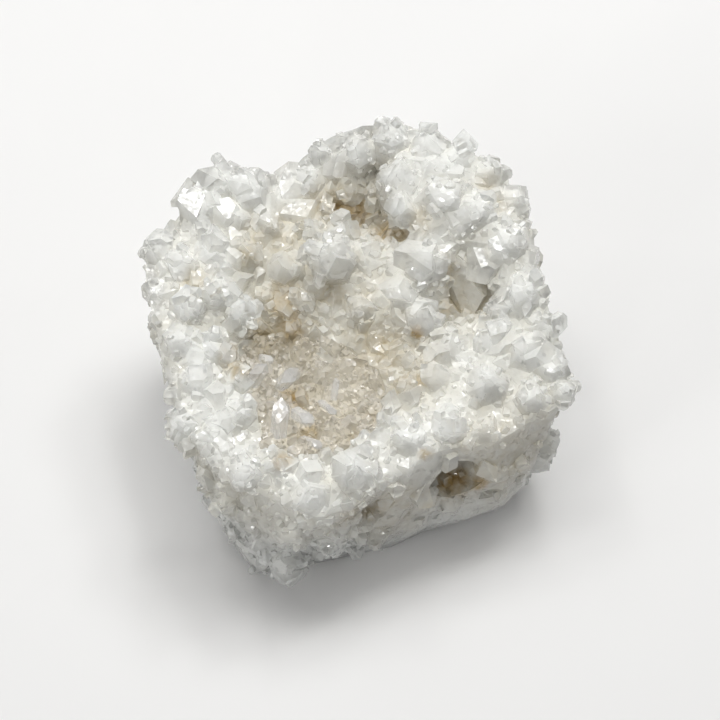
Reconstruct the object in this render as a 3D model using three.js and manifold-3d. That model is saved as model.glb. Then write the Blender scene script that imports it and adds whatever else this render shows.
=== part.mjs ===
// Euclase on quartz: a hand specimen broken out of a vein.
//
// A squarish block of massive white quartz carries a druse of short quartz crystals on its
// leaning upper face. A hollow in the middle of the druse is lined with a crust of small
// crystals, and a few slant-ended euclase crystals stand in that crust.
// Lengths are millimetres, +Z is up, and the origin lies under the middle of the specimen
// on the surface that it rests on. The front (-Y) shows the broken side of the vein.
import * as THREE from "three";
import { ConvexGeometry } from "three/addons/geometries/ConvexGeometry.js";
import { ImprovedNoise } from "three/addons/math/ImprovedNoise.js";
import { mergeVertices } from "three/addons/utils/BufferGeometryUtils.js";
import Module from "manifold-3d";

const wasm = await Module();
wasm.setup();

// ---- Driving dimensions -------------------------------------------------------------------

const GAP = 0.3; // clearance left between two solids that touch
const HEART = [-2, -4]; // plan position that the druse and the sides are laid out around
const COLUMNS = 34; // facets around the block
const DRUSE_RINGS = 6; // facets from the heart of the druse to its rim
const SIDE_RINGS = 4; // facets from the rim down to the foot
const FOOT_INSET = 0.9; // the flat rest is this much of the foot's outline
const SIDE_SWELL = 0.6; // how far the broken sides stand out between rim and foot
const ROUGHNESS = 0.9; // size of the break's unevenness
const TIP_SLOPE = THREE.MathUtils.degToRad(49); // lean of a crystal's end faces from its axis
const FULL_TIP = 2.55; // crystals of a smaller radius end in three faces, larger ones in six
const FILL_PITCH = 4.5; // spacing of the small crystals between the knobs
const FILL_RADIUS = [1.6, 2.2]; // their smallest and largest radius
const CRUST = 1.3; // thickness of the crystal lining of the hollow
const CRUST_PITCH = 3.1; // spacing of its crystals
const CRUST_RADIUS = [1.6, 2.2]; // their smallest and largest radius
const LUMP_RADIUS = [4.2, 6.2]; // smallest and largest radius of the lumps in the sides
const LUMP_STAND = [0.5, 1.4]; // how far they stand out
const STEP_SIZE = [9, 15]; // width and height of each piece that broke off the sides
const STEP_DEPTH = [0.1, 0.7]; // how deep it went at its middle
const STEP_SLANT = [0.16, 0.3]; // how far its break leaned off the side, in radians
const SLAB = 12; // thickness of the cutter that takes such a piece away
const SKY = 40; // a height above everything

// The rim where the druse meets the broken sides, clockwise from the left: x, y, z.
const RIM = [
  [-26, 8.5, 21], [-25, 11, 22], [-21.5, 12.5, 23], [-20.5, 16.5, 24], [-17, 18.5, 25],
  [-11.5, 17, 25], [-7, 19.5, 25], [-3.5, 22, 27], [1, 23, 28], [5.5, 23, 28],
  [10.5, 21.5, 27], [16, 19, 26], [19, 16, 25], [21, 10.5, 24], [21.5, 4, 22],
  [24, -2.5, 20], [26, -8.5, 18.5], [24, -10.5, 17.5], [19.5, -12.5, 17.5],
  [14.5, -16, 17.5], [10, -15.5, 18], [5, -19, 18], [2, -21, 18.5], [-1.5, -24, 17],
  [-7, -24.5, 17], [-14, -22.5, 17.5], [-19, -19, 18.5], [-21.5, -14, 19],
  [-22, -9.5, 19.5], [-23.5, -2.5, 20], [-25, 3.5, 20.5],
];

// The foot, where the sides turn in under the block: x, y, z.
const FOOT = [
  [-22.5, 7, 3], [-20, 13, 3], [-15, 17, 2], [-7, 18, 2], [0, 20.5, 2], [8, 19.5, 2.5],
  [15, 16, 3], [19, 10, 3], [20, 3, 2.5], [21.5, -4, 3], [23.5, -9.5, 4.5], [20, -13.5, 4.5],
  [17, -15.8, 4.5], [10, -18, 4.5], [3.5, -21.5, 4.5], [-1, -23.5, 3.5], [-7.9, -25.5, 2],
  [-11.5, -23.8, 1.5], [-15.5, -19.5, 2.5], [-18, -14, 3], [-20, -8, 3], [-21.5, 0, 3],
];

// Heights of the druse at its swells, shelves and hollows: x, y, z.
const RELIEF = [
  [-18.5, 9, 23], [-20, 3.5, 22.5], [-13.5, 8.5, 22.5], [-19, -3, 21.5], [-15, 2.5, 21.5],
  [-17, -10.5, 20.5], [-18, -16.5, 20], [-8, 14.5, 22.5], [-6, 16.5, 24.5], [-1, 17, 18.5],
  [3, 13, 21], [-2.5, 8.5, 24.5], [3, 16.5, 28], [9, 16.5, 29], [6, 13, 26.5],
  [11.5, 11, 28.5], [16, 11.5, 27], [10, 7, 26], [17, 7, 25.5], [0.5, 5, 22],
  [-7, 6, 21.5], [-12, 2.5, 16.5], [-9.5, -1, 15.5], [-14, -1.5, 16.5], [-4.5, 0, 18],
  [-7, -7.5, 14.5], [-1.5, -8.5, 15.5], [3, -2, 17.5], [5, 4, 22.5], [7.5, 1.5, 21.5],
  [10, 0, 18], [14.5, 5.5, 17], [12, 6.5, 19], [19, 3, 23], [13.5, -4.5, 21],
  [19.5, -5.5, 20.5], [10, -8.5, 19], [5, -11.5, 18.5], [14.5, -11, 19], [22, -9, 19.5],
  [10, -13.5, 19], [-3.5, -14.5, 16.5], [-11, -13.5, 18], [-14, -9.5, 19],
  [-13, -18.5, 20], [-7, -20, 19.5], [-0.5, -20, 20],
];

// The large quartz crystals and knobs of the druse: x, y, radius.
const KNOBS = [
  // back left
  [-18.5, 14.5, 3.2], [-16.2, 17.2, 2.4], [-12.8, 16, 2.9], [-14.5, 12.8, 2.3],
  [-18.2, 10.8, 2], [-23.8, 9.5, 2.2], [-21, 7, 2.5], [-24, 4.6, 2], [-17, 8, 2.1],
  [-13.6, 8.6, 2.4],
  // left shelf
  [-16.5, 4, 2.7], [-20.2, 1.4, 2.3], [-14, 1.6, 2.2], [-11.2, 5, 2], [-20.8, -3, 2.3],
  [-16.8, -4, 2.4], [-18.8, -8, 2.8], [-20.5, -13.4, 2.4], [-16.8, -14, 2.5],
  // back middle
  [-9, 15.3, 2.8], [-6, 17.4, 2.2], [-10.8, 12.2, 2.3], [-3, 18, 2.5], [-4.6, 20.6, 1.5],
  // back right massif
  [0, 20.6, 2.8], [4, 21, 2.6], [8, 19.6, 2.5], [12, 19, 2], [15.5, 17.5, 2.3],
  [18.5, 14.2, 2.1], [5, 16, 3.1], [10, 13.5, 3.1], [13.8, 12, 2.8], [2.5, 14, 1.4],
  [5.5, 12.5, 2.2], [17.8, 8.4, 2.7], [12, 8, 3.1], [8, 6, 3.1], [16, 5.5, 2.8],
  [19.5, 2.5, 2.8],
  // middle
  [-2, 11, 1.8], [-3, 7, 3.5], [1, 8, 2.6], [4.5, 7, 1.9], [5.5, 3, 2.3], [7.5, 0.2, 2.6],
  [-8, 7, 2.4], [-9.5, 3.5, 2], [-6.4, 3.4, 2], [-3.4, 1.6, 2], [0.2, 1.9, 2],
  [2.2, -0.8, 1.8], [4.6, -2.6, 1.8],
  // right
  [11, -3, 2.6], [15.8, -2.6, 2.4], [11.5, 5, 1.2], [19.5, -4, 2.8], [22.5, -5.5, 2.4],
  [24, -8, 2.1], [21.4, -0.4, 2.2], [16.8, 1, 1.9], [15.2, -7.8, 3], [20.3, -9.4, 2.4],
  [6, -14.4, 2.9], [10.2, -13, 2.5], [15, -13.4, 2.2],
  // front
  [-0.5, -19.5, 3.1], [-5.5, -22, 2.7], [-13, -19.8, 2.4], [-13.8, -11.4, 2.2],
  [-9.6, -18.4, 2.1], [6, -8, 2.2], [6.5, -3.8, 1.9],
];

// Crystals that stand out of the broken sides: x, y, z, radius, and the way out.
const SIDE_CRYSTALS = [
  [-15, -20.6, 14, 2.6, [-0.5, -1, 0.5]], [-7.5, -24, 13, 2.8, [0.1, -1, 0.6]],
  [-11.5, -22.8, 8.5, 2.6, [-0.5, -1, 0.3]], [-3.4, -23.6, 8, 2.4, [0.2, -1, 0]],
  [-8.2, -24.6, 4.6, 2.6, [0, -1, -0.1]], [2.4, -21, 6.6, 2.4, [0.3, -1, 0]],
  [6.8, -17.8, 11.4, 2.4, [0.3, -1, 0.4]], [9.4, -16, 12.6, 1.7, [0.2, -1, 0.6]],
  [18.6, -13.6, 11, 2.4, [0.4, -1, 0.1]], [14, -15.6, 6.4, 2.2, [0.3, -1, 0]],
  [22.8, -10.2, 8.4, 2.4, [0.7, -0.7, 0]],
  [-23.4, 3, 14, 2.6, [-1, 0, 0.2]], [-20.5, 12, 14, 2.6, [-1, 0.6, 0.1]],
  [6, 20.8, 17, 2.9, [0.1, 1, 0.1]], [19.6, 11, 14, 2.7, [1, 0.4, 0.1]],
];

// Flat breaks that square off the sides: the way each faces, as degrees round from +X and
// degrees up, and its distance from the middle of the block.
const BREAKS = [
  [196, -8, 22.4], [215, -4, 24.2], [248, 12, 25.2], [284, -12, 21.6], [338, -10, 24.4],
  [38, -12, 23.4], [100, -10, 21], [140, -14, 21.6],
];

// Flat-faced lumps of the sides: degrees round from +X, and the share of the way from rim to
// foot.
const LUMPS = [
  [2, 0.4], [26, 0.75], [38, 0.3], [66, 0.7], [86, 0.35], [112, 0.75], [128, 0.25],
  [150, 0.65], [176, 0.35], [198, 0.8], [220, 0.35], [244, 0.65], [262, 0.3], [346, 0.8],
];

// Ledges where slabs broke off the back and the sides, placed in the same way.
const STEPS = [
  [-12, 0.75], [14, 0.45], [40, 0.8], [62, 0.4], [84, 0.75], [108, 0.45], [132, 0.8],
  [158, 0.4], [182, 0.75], [206, 0.45], [232, 0.8],
];

// Hollows worn or left open between crystals: centre x, y, z, then half sizes.
const CAVITIES = [
  [-0.5, 14.6, 21.4, 4.6, 2.3, 2.6], // arch under the back right massif
  [-6.6, 10.6, 22.8, 0.8, 2.2, 2.6], // slit between the back knobs
  [14, 4.6, 19.6, 3.6, 3, 3], // right hollow
  [4.8, 10.2, 23.6, 2.6, 1.2, 2.2], // cleft in front of the massif
  [11, -16.4, 12.6, 4.2, 3, 3], // arch in the broken front
  [11.2, -17.6, 8.3, 2, 1.8, 1.5], // pit below the arch
  [15.8, -16.4, 8.2, 1.7, 1.6, 1.1], // small pit beside it
  [2.6, -21.8, 13, 3.4, 2, 2.1], // notch under the front crystal
  [-9.5, -26, 0.4, 2.6, 2.6, 1.7], // chip at the foot
];

// The middle hollow in plan: its outline anticlockwise, and a point that sees all of it.
const HOLLOW_OUTLINE = [
  [-14.2, -0.9], [-14.4, -4.7], [-13.4, -8.9], [-11.8, -11.4], [-11.4, -15], [-8.4, -16.8],
  [-4.8, -17], [-1, -15.2], [2.2, -13], [3.6, -8.8], [2.6, -5], [-0.7, -1.9], [-4, -0.9],
  [-7.6, 0.5], [-11.5, 1.2],
];
const HOLLOW_MIDDLE = [-6, -7];

// Euclase crystals: x, y, height above the floor of the hollow, length, width, thickness,
// then the turn about the vertical, the lean and the roll, in degrees.
const EUCLASE = [
  [-6.5, -11.3, 1.9, 3.4, 2, 1.6, -48, 30, 20],
  [-3.5, -9.9, 2, 3.2, 1.3, 0.8, -55, 28, 40],
  [-9.2, -12.6, 1.7, 4.6, 3.4, 2, 82, 46, 0],
  [-8.4, -5.4, 1.8, 3.4, 2.6, 1.7, 15, 52, 30],
  [-12, -6.6, 1.5, 3.2, 2.3, 1.5, 40, 46, -20],
  [-10.9, -3.4, 1.7, 2.6, 1.5, 1, -50, 50, 0],
  [-2.7, -7.2, 2, 2.8, 1, 0.6, 78, 40, 60],
  [-5.4, -15, 1.7, 3.2, 1.4, 1, -38, 30, 15],
];

// ---- Small tools --------------------------------------------------------------------------

const rough = new ImprovedNoise();

// A repeatable stream of numbers from 0 to 1.
function stream(seed) {
  let state = seed;
  return () => {
    state = (state + 0x6d2b79f5) | 0;
    let t = Math.imul(state ^ (state >>> 15), 1 | state);
    t = (t + Math.imul(t ^ (t >>> 7), 61 | t)) ^ t;
    return ((t ^ (t >>> 14)) >>> 0) / 4294967296;
  };
}

// A closed geometry as a manifold solid.
function solid(geometry) {
  const bare = new THREE.BufferGeometry();
  bare.setAttribute("position", geometry.getAttribute("position"));
  if (geometry.index) bare.setIndex(geometry.index);
  const merged = mergeVertices(bare, 1e-4);
  return new wasm.Manifold(
    new wasm.Mesh({
      numProp: 3,
      vertProperties: merged.getAttribute("position").array,
      triVerts: new Uint32Array(merged.index.array),
    }),
  );
}

// A manifold solid as a mesh that is one named piece of the specimen.
function piece(name, shape, material) {
  const data = shape.getMesh();
  const geometry = new THREE.BufferGeometry();
  geometry.setAttribute("position", new THREE.BufferAttribute(data.vertProperties, 3));
  geometry.setIndex(new THREE.BufferAttribute(data.triVerts, 1));
  geometry.computeVertexNormals();
  const mesh = new THREE.Mesh(geometry, material);
  mesh.name = name;
  return mesh;
}

// The largest of a shape's separate bodies.
function mainBody(shape) {
  return shape.decompose().sort((a, b) => b.volume() - a.volume())[0];
}

// A length between the two given, picked from the stream.
function between([least, most], random) {
  return least + (most - least) * random();
}

// The height of the druse over a plan position: nearby heights weigh most.
function druseHeight(x, y) {
  const blend = 0.6;
  let sum = 0;
  let weights = 0;
  for (const [px, py, pz] of [...RIM, ...RELIEF]) {
    const weight = 1 / ((px - x) ** 2 + (py - y) ** 2 + blend) ** 2;
    sum += weight * pz;
    weights += weight;
  }
  return sum / weights;
}

// The way out of the druse at a plan position: its slope's normal, spread away from the heart.
function druseNormal(x, y) {
  const step = 1;
  const slopeX = (druseHeight(x + step, y) - druseHeight(x - step, y)) / (2 * step);
  const slopeY = (druseHeight(x, y + step) - druseHeight(x, y - step)) / (2 * step);
  const spread = new THREE.Vector3(x, y, 14).normalize();
  return new THREE.Vector3(-slopeX, -slopeY, 1.3).normalize().add(spread).normalize();
}

// Where a ray from the heart at an angle crosses a closed outline, with the outline's height.
function crossing(outline, angle) {
  const [hx, hy] = HEART;
  const ray = [Math.cos(angle), Math.sin(angle)];
  for (let i = 0; i < outline.length; i++) {
    const [ax, ay, az] = outline[i];
    const [bx, by, bz] = outline[(i + 1) % outline.length];
    const edge = [bx - ax, by - ay];
    const turn = ray[0] * edge[1] - ray[1] * edge[0];
    if (Math.abs(turn) < 1e-9) continue;
    const along = ((ax - hx) * edge[1] - (ay - hy) * edge[0]) / turn;
    const share = ((ax - hx) * ray[1] - (ay - hy) * ray[0]) / turn;
    if (along > 0 && share >= 0 && share < 1) {
      return [hx + along * ray[0], hy + along * ray[1], az + share * (bz - az)];
    }
  }
  throw new Error("the outline does not go round the heart");
}

// ---- The vein quartz: one closed skin over druse, broken sides and rest --------------------

function veinBlock() {
  const positions = [];
  const rings = [];
  const mix = (a, b, share) => a + (b - a) * share;
  const uneven = (x, y, z) => ROUGHNESS * rough.noise(x * 0.45, y * 0.45, z * 0.45);

  const addRing = (pointAt) => {
    const ring = [];
    for (let i = 0; i < COLUMNS; i++) {
      ring.push(positions.length / 3);
      positions.push(...pointAt((i / COLUMNS) * 2 * Math.PI));
    }
    rings.push(ring);
  };
  for (let k = 1; k <= DRUSE_RINGS; k++) {
    addRing((angle) => {
      const [rx, ry, rz] = crossing(RIM, angle);
      const x = mix(HEART[0], rx, k / DRUSE_RINGS);
      const y = mix(HEART[1], ry, k / DRUSE_RINGS);
      const z = k === DRUSE_RINGS ? rz : druseHeight(x, y);
      return [x, y, z + 1.4 * uneven(x, y, 40)];
    });
  }
  for (let k = 1; k <= SIDE_RINGS; k++) {
    addRing((angle) => {
      const [rx, ry, rz] = crossing(RIM, angle);
      const [fx, fy, fz] = crossing(FOOT, angle);
      const fall = k / SIDE_RINGS;
      const x = mix(rx, fx, fall);
      const y = mix(ry, fy, fall);
      const z = mix(rz, fz, fall);
      const out = SIDE_SWELL * Math.sin(Math.PI * fall) + 2.2 * uneven(x, y, z);
      return [x + out * Math.cos(angle), y + out * Math.sin(angle), z];
    });
  }
  addRing((angle) => {
    const [fx, fy] = crossing(FOOT, angle);
    return [mix(HEART[0], fx, FOOT_INSET), mix(HEART[1], fy, FOOT_INSET), 0];
  });

  const top = positions.length / 3;
  positions.push(...HEART, druseHeight(...HEART));
  const bottom = top + 1;
  positions.push(...HEART, 0);

  const faces = [];
  for (let i = 0; i < COLUMNS; i++) {
    const j = (i + 1) % COLUMNS;
    faces.push(top, rings[0][i], rings[0][j]);
    for (let k = 1; k < rings.length; k++) {
      const [a, b] = [rings[k - 1][i], rings[k - 1][j]];
      const [c, d] = [rings[k][i], rings[k][j]];
      faces.push(a, c, b, b, c, d);
    }
    const last = rings[rings.length - 1];
    faces.push(bottom, last[j], last[i]);
  }
  const geometry = new THREE.BufferGeometry();
  geometry.setAttribute("position", new THREE.Float32BufferAttribute(positions, 3));
  geometry.setIndex(faces);
  return solid(geometry);
}

// ---- Quartz crystals: six-sided, a short shank under an off-centre point ------------------

// A crystal on a seat. With room around it, it is the socket that clears the crystal.
function quartzCrystal(seat, way, radius, random, room = 0) {
  const girth = radius + room;
  const buried = 1.2 * radius + room;
  const shank = (0.1 + 0.3 * random()) * radius;
  const tall = shank + 2 * radius;
  const geometry = new THREE.CylinderGeometry(girth, 0.85 * girth, buried + tall, 6);
  geometry.rotateX(Math.PI / 2);
  geometry.translate(0, 0, (tall - buried) / 2);
  let crystal = solid(geometry);
  const step = radius < FULL_TIP ? 2 : 1;
  for (let i = 0; i < 6; i += step) {
    const around = ((i + 0.5) * Math.PI) / 3;
    const height = shank + (0.85 + 0.25 * (i % 2) + 0.3 * random()) * radius;
    const face = new THREE.Vector3(
      Math.sin(TIP_SLOPE) * Math.sin(around),
      Math.sin(TIP_SLOPE) * Math.cos(around),
      Math.cos(TIP_SLOPE),
    );
    const offset = height * Math.cos(TIP_SLOPE) + room;
    crystal = crystal.trimByPlane(face.negate().toArray(), -offset);
  }
  const upright = new THREE.Vector3(0, 0, 1);
  const turn = new THREE.Quaternion().setFromUnitVectors(upright, way);
  turn.multiply(new THREE.Quaternion().setFromAxisAngle(upright, 2 * Math.PI * random()));
  const placed = new THREE.Matrix4().compose(seat, turn, new THREE.Vector3(1, 1, 1));
  return crystal.transform(placed.toArray());
}

// A direction knocked aside by a share of its length.
function knocked(way, share, random) {
  const aside = new THREE.Vector3(random() - 0.5, random() - 0.5, random() - 0.5);
  return way.clone().addScaledVector(aside, 2 * share).normalize();
}

function knob([x, y, radius], i, room = 0) {
  const random = stream(700 + i);
  const seat = new THREE.Vector3(x, y, druseHeight(x, y) - 0.25 * radius);
  return quartzCrystal(seat, knocked(druseNormal(x, y), 0.35, random), radius, random, room);
}

// Whether a plan position lies within an outline.
function within(outline, x, y) {
  let inside = false;
  outline.forEach(([ax, ay], i) => {
    const [bx, by] = outline[(i + 1) % outline.length];
    const spans = ay > y !== by > y;
    if (spans && x < ax + ((y - ay) * (bx - ax)) / (by - ay)) inside = !inside;
  });
  return inside;
}

// The small crystals that fill the druse between its knobs.
function fillCrystals() {
  const random = stream(7);
  const reach = 7;
  const crystals = [];
  for (let row = -reach; row <= reach; row++) {
    for (let column = -reach; column <= reach; column++) {
      const x = (column + 0.5 * (row & 1) + 0.5 * (random() - 0.5)) * FILL_PITCH;
      const y = (0.87 * row + 0.5 * (random() - 0.5)) * FILL_PITCH;
      const radius = between(FILL_RADIUS, random);
      const way = knocked(druseNormal(x, y), 0.4, random);
      const crowded = KNOBS.some(([kx, ky, kr]) => Math.hypot(kx - x, ky - y) < kr + 1);
      if (crowded || !within(RIM, x, y) || within(HOLLOW_OUTLINE, x, y)) continue;
      const seat = new THREE.Vector3(x, y, druseHeight(x, y) - 0.2 * radius);
      crystals.push(quartzCrystal(seat, way, radius, random));
    }
  }
  return crystals;
}

function sideCrystals() {
  const random = stream(19);
  return SIDE_CRYSTALS.map(([x, y, z, radius, way]) => {
    const out = new THREE.Vector3(...way).normalize();
    const seat = new THREE.Vector3(x, y, z).addScaledVector(out, -0.5 * radius);
    return quartzCrystal(seat, knocked(out, 0.3, random), radius, random);
  });
}

// ---- The broken sides ---------------------------------------------------------------------

// A place on the sides: its angle around the heart and its share of the way to the foot.
function sidePlace(angle, fall) {
  const rim = new THREE.Vector3(...crossing(RIM, angle));
  const foot = new THREE.Vector3(...crossing(FOOT, angle));
  return rim.lerp(foot, fall);
}

// A flat-faced lump with no fixed shape: the hull of an uneven ball.
function brokenLump(seat, radius, random) {
  const corners = [];
  const ball = new THREE.IcosahedronGeometry(radius, 0).getAttribute("position");
  for (let i = 0; i < ball.count; i++) {
    const corner = new THREE.Vector3().fromBufferAttribute(ball, i);
    const uneven = 1 + 0.3 * rough.noise(...corner.clone().add(seat).toArray());
    corners.push(corner.multiplyScalar(uneven));
  }
  const turn = new THREE.Euler(3 * random(), 3 * random(), 3 * random());
  const geometry = new ConvexGeometry(corners);
  geometry.applyQuaternion(new THREE.Quaternion().setFromEuler(turn));
  geometry.translate(seat.x, seat.y, seat.z);
  return solid(geometry);
}

function sideLumps() {
  const random = stream(53);
  return LUMPS.map(([round, fall]) => {
    const angle = THREE.MathUtils.degToRad(round);
    const radius = between(LUMP_RADIUS, random);
    const inward = between(LUMP_STAND, random) - radius;
    const seat = sidePlace(angle, fall);
    seat.add(new THREE.Vector3(inward * Math.cos(angle), inward * Math.sin(angle), 0));
    return brokenLump(seat, radius, random);
  });
}

// The slabs that broke away and left ledges in the sides.
function sideSteps() {
  const random = stream(97);
  return STEPS.map(([round, fall]) => {
    const angle = THREE.MathUtils.degToRad(round);
    const place = sidePlace(angle, fall);
    const slab = new THREE.BoxGeometry(
      SLAB, between(STEP_SIZE, random), between(STEP_SIZE, random),
    );
    slab.translate(SLAB / 2 - between(STEP_DEPTH, random), 0, 0);
    slab.rotateZ(between(STEP_SLANT, random));
    slab.rotateX(2 * Math.PI * random());
    slab.rotateZ(angle);
    slab.translate(place.x, place.y, place.z);
    return solid(slab);
  });
}

// A hollow with an uneven wall.
function cavity([x, y, z, halfX, halfY, halfZ]) {
  const detail = Math.max(halfX, halfY, halfZ) > 3 ? 1 : 0;
  const geometry = new THREE.IcosahedronGeometry(1, detail);
  const places = geometry.getAttribute("position");
  for (let i = 0; i < places.count; i++) {
    const [px, py, pz] = [places.getX(i), places.getY(i), places.getZ(i)];
    const swell = 1 + 0.35 * rough.noise(px * 2 + x, py * 2 + y, pz * 2 + z);
    places.setXYZ(i, px * swell, py * swell, pz * swell);
  }
  geometry.scale(halfX, halfY, halfZ);
  geometry.translate(x, y, z);
  return solid(geometry);
}

// The block with its flat breaks.
function brokenBlock() {
  const middle = new THREE.Vector3(0, 0, 12);
  return BREAKS.reduce((left, [round, up, distance]) => {
    const [azimuth, elevation] = [round, up].map(THREE.MathUtils.degToRad);
    const way = new THREE.Vector3(
      Math.cos(elevation) * Math.cos(azimuth),
      Math.cos(elevation) * Math.sin(azimuth),
      Math.sin(elevation),
    );
    return left.trimByPlane(way.clone().negate().toArray(), -(way.dot(middle) + distance));
  }, veinBlock());
}

// The block with everything that grew or was left on it, worn, and flat where it rests.
function quartzMass() {
  const block = wasm.Manifold.union([brokenBlock(), ...sideLumps()]);
  const stepped = block.subtract(wasm.Manifold.union(sideSteps()));
  const ground = wasm.Manifold.union([stepped, ...fillCrystals()]);
  const knobs = KNOBS.map((place, i) => knob(place, i));
  const parts = [ground.subtract(hollowRoom(0)), ...knobs, ...sideCrystals()];
  const grown = wasm.Manifold.union(parts);
  const worn = CAVITIES.reduce((left, place) => left.subtract(cavity(place)), grown);
  return mainBody(worn.trimByPlane([0, 0, 1], 0));
}

// ---- The crust: a lining of small crystals on the floor of the hollow ----------------------

// A body from the floor of the hollow up to a roof, drawn in by a clearance.
function overFloor(clearance, roofAt) {
  const [mx, my] = HOLLOW_MIDDLE;
  const floorAt = (x, y) => druseHeight(x, y) - CRUST + clearance;
  const edge = HOLLOW_OUTLINE.map(([x, y]) => {
    const share = 1 - (1.2 * clearance) / Math.hypot(x - mx, y - my);
    return [mx + share * (x - mx), my + share * (y - my)];
  });
  const positions = [mx, my, roofAt(mx, my)];
  const addRing = (level, heightAt) => {
    edge.forEach(([ex, ey]) => {
      const [x, y] = [mx + level * (ex - mx), my + level * (ey - my)];
      positions.push(x, y, heightAt(x, y));
    });
  };
  const levels = [0.3, 0.65, 1];
  levels.forEach((level) => addRing(level, roofAt));
  levels.reverse().forEach((level) => addRing(level, floorAt));
  const last = positions.length / 3;
  positions.push(mx, my, floorAt(mx, my));

  const count = edge.length;
  const faces = [];
  for (let i = 0; i < count; i++) {
    const j = (i + 1) % count;
    faces.push(0, 1 + i, 1 + j);
    for (let ring = 1; ring + 2 * count <= last; ring += count) {
      const [a, b, c, d] = [ring + i, ring + j, ring + count + i, ring + count + j];
      faces.push(a, c, b, b, c, d);
    }
    faces.push(last, last - count + j, last - count + i);
  }
  const geometry = new THREE.BufferGeometry();
  geometry.setAttribute("position", new THREE.Float32BufferAttribute(positions, 3));
  geometry.setIndex(faces);
  return solid(geometry);
}

// The room that the crust takes in the quartz, open to the sky.
function hollowRoom(clearance) {
  return overFloor(clearance, () => SKY);
}

function hollowCrust() {
  const random = stream(31);
  const lining = [];
  const reach = 5;
  for (let row = -reach; row <= reach; row++) {
    for (let column = -reach; column <= reach; column++) {
      const along = column + 0.5 * (row & 1) + 0.5 * (random() - 0.5);
      const x = HOLLOW_MIDDLE[0] + along * CRUST_PITCH;
      const y = HOLLOW_MIDDLE[1] + (0.87 * row + 0.5 * (random() - 0.5)) * CRUST_PITCH;
      const radius = between(CRUST_RADIUS, random);
      const seat = new THREE.Vector3(x, y, druseHeight(x, y) - 0.3 * radius);
      const way = knocked(druseNormal(x, y), 0.5, random);
      if (within(HOLLOW_OUTLINE, x, y)) lining.push(quartzCrystal(seat, way, radius, random));
    }
  }
  const slab = overFloor(GAP, (x, y) => druseHeight(x, y) - 0.2 * CRUST);
  const grown = wasm.Manifold.union([slab, ...lining]).intersect(hollowRoom(GAP));
  return KNOBS.reduce((left, place, i) => left.subtract(knob(place, i, GAP)), grown);
}

// ---- Euclase: slant-ended prisms of lozenge section ---------------------------------------

// An upright crystal about its middle, or with room around it the socket that it stands in.
function euclaseShape([, , , long, wide, deep], room = 0) {
  const [length, width, thick] = [long + 2 * room, wide + 2 * room, deep + 2 * room];
  const [w, t] = [width / 2, thick / 2];
  const shank = length * 0.28;
  const corners = [];
  for (const [cx, cy, slant] of [
    [w, 0.25 * t, 0.18], [w, -0.25 * t, 0.18], [0.35 * w, t, 0.3], [0.35 * w, -t, 0.3],
    [-0.45 * w, t, -0.12], [-0.45 * w, -t, -0.12], [-w, 0.2 * t, -0.3], [-w, -0.2 * t, -0.3],
  ]) {
    corners.push(new THREE.Vector3(cx, cy, shank + slant * width));
    corners.push(new THREE.Vector3(cx, cy, -length / 2));
  }
  corners.push(new THREE.Vector3(0.3 * w, 0.3 * t, length / 2));
  corners.push(new THREE.Vector3(0.1 * w, -0.35 * t, length / 2 - 0.04 * length));
  return new ConvexGeometry(corners);
}

// Where a crystal stands in the hollow and how it is turned.
function euclasePlace([x, y, lift, , , , ...degrees]) {
  const [turn, lean, roll] = degrees.map(THREE.MathUtils.degToRad);
  const place = new THREE.Object3D();
  place.position.set(x, y, druseHeight(x, y) + lift);
  place.rotation.set(0, Math.PI / 2 - lean, turn, "ZYX");
  place.rotateZ(roll);
  place.updateMatrix();
  return place.matrix;
}

// ---- The specimen -------------------------------------------------------------------------

const materials = {
  quartz: new THREE.MeshStandardMaterial({ color: 0xe2e1dc, roughness: 0.3, metalness: 0 }),
  crust: new THREE.MeshStandardMaterial({ color: 0xd2c8b6, roughness: 0.28, metalness: 0 }),
  euclase: new THREE.MeshStandardMaterial({ color: 0xf0e9e6, roughness: 0.12, metalness: 0 }),
};

let quartz = quartzMass();
let crust = hollowCrust();
const specimen = new THREE.Group();

EUCLASE.forEach((row, i) => {
  const place = euclasePlace(row);
  const socket = solid(euclaseShape(row, GAP)).transform(place.toArray());
  quartz = quartz.subtract(socket);
  crust = crust.subtract(socket);
  const crystal = piece(`euclase_crystal_${i + 1}`, solid(euclaseShape(row)), materials.euclase);
  crystal.applyMatrix4(place);
  specimen.add(crystal);
});
quartz = mainBody(quartz);
specimen.add(piece("quartz_matrix", quartz, materials.quartz));
specimen.add(piece("hollow_crust", mainBody(crust), materials.crust));

// The origin lies under the middle of the quartz.
const { min, max } = quartz.boundingBox();
specimen.position.set(-(min[0] + max[0]) / 2, -(min[1] + max[1]) / 2, 0);

export default specimen;
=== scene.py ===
import math
import random

import bmesh
import bpy
from mathutils import Matrix, Vector
from mathutils.bvhtree import BVHTree


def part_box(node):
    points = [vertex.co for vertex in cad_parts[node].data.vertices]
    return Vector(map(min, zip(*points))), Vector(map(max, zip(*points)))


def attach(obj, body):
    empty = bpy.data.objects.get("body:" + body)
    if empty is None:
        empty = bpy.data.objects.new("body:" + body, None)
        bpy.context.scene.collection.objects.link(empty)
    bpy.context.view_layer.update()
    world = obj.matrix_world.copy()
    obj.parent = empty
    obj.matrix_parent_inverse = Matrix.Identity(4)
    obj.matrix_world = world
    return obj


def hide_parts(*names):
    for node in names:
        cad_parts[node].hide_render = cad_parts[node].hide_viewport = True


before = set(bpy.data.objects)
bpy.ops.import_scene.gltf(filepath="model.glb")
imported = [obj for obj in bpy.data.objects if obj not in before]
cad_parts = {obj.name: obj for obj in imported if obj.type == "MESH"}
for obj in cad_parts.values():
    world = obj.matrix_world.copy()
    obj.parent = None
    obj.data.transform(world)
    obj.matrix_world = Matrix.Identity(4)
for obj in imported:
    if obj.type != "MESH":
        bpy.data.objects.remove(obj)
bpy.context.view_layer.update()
MM = 0.001


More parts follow.
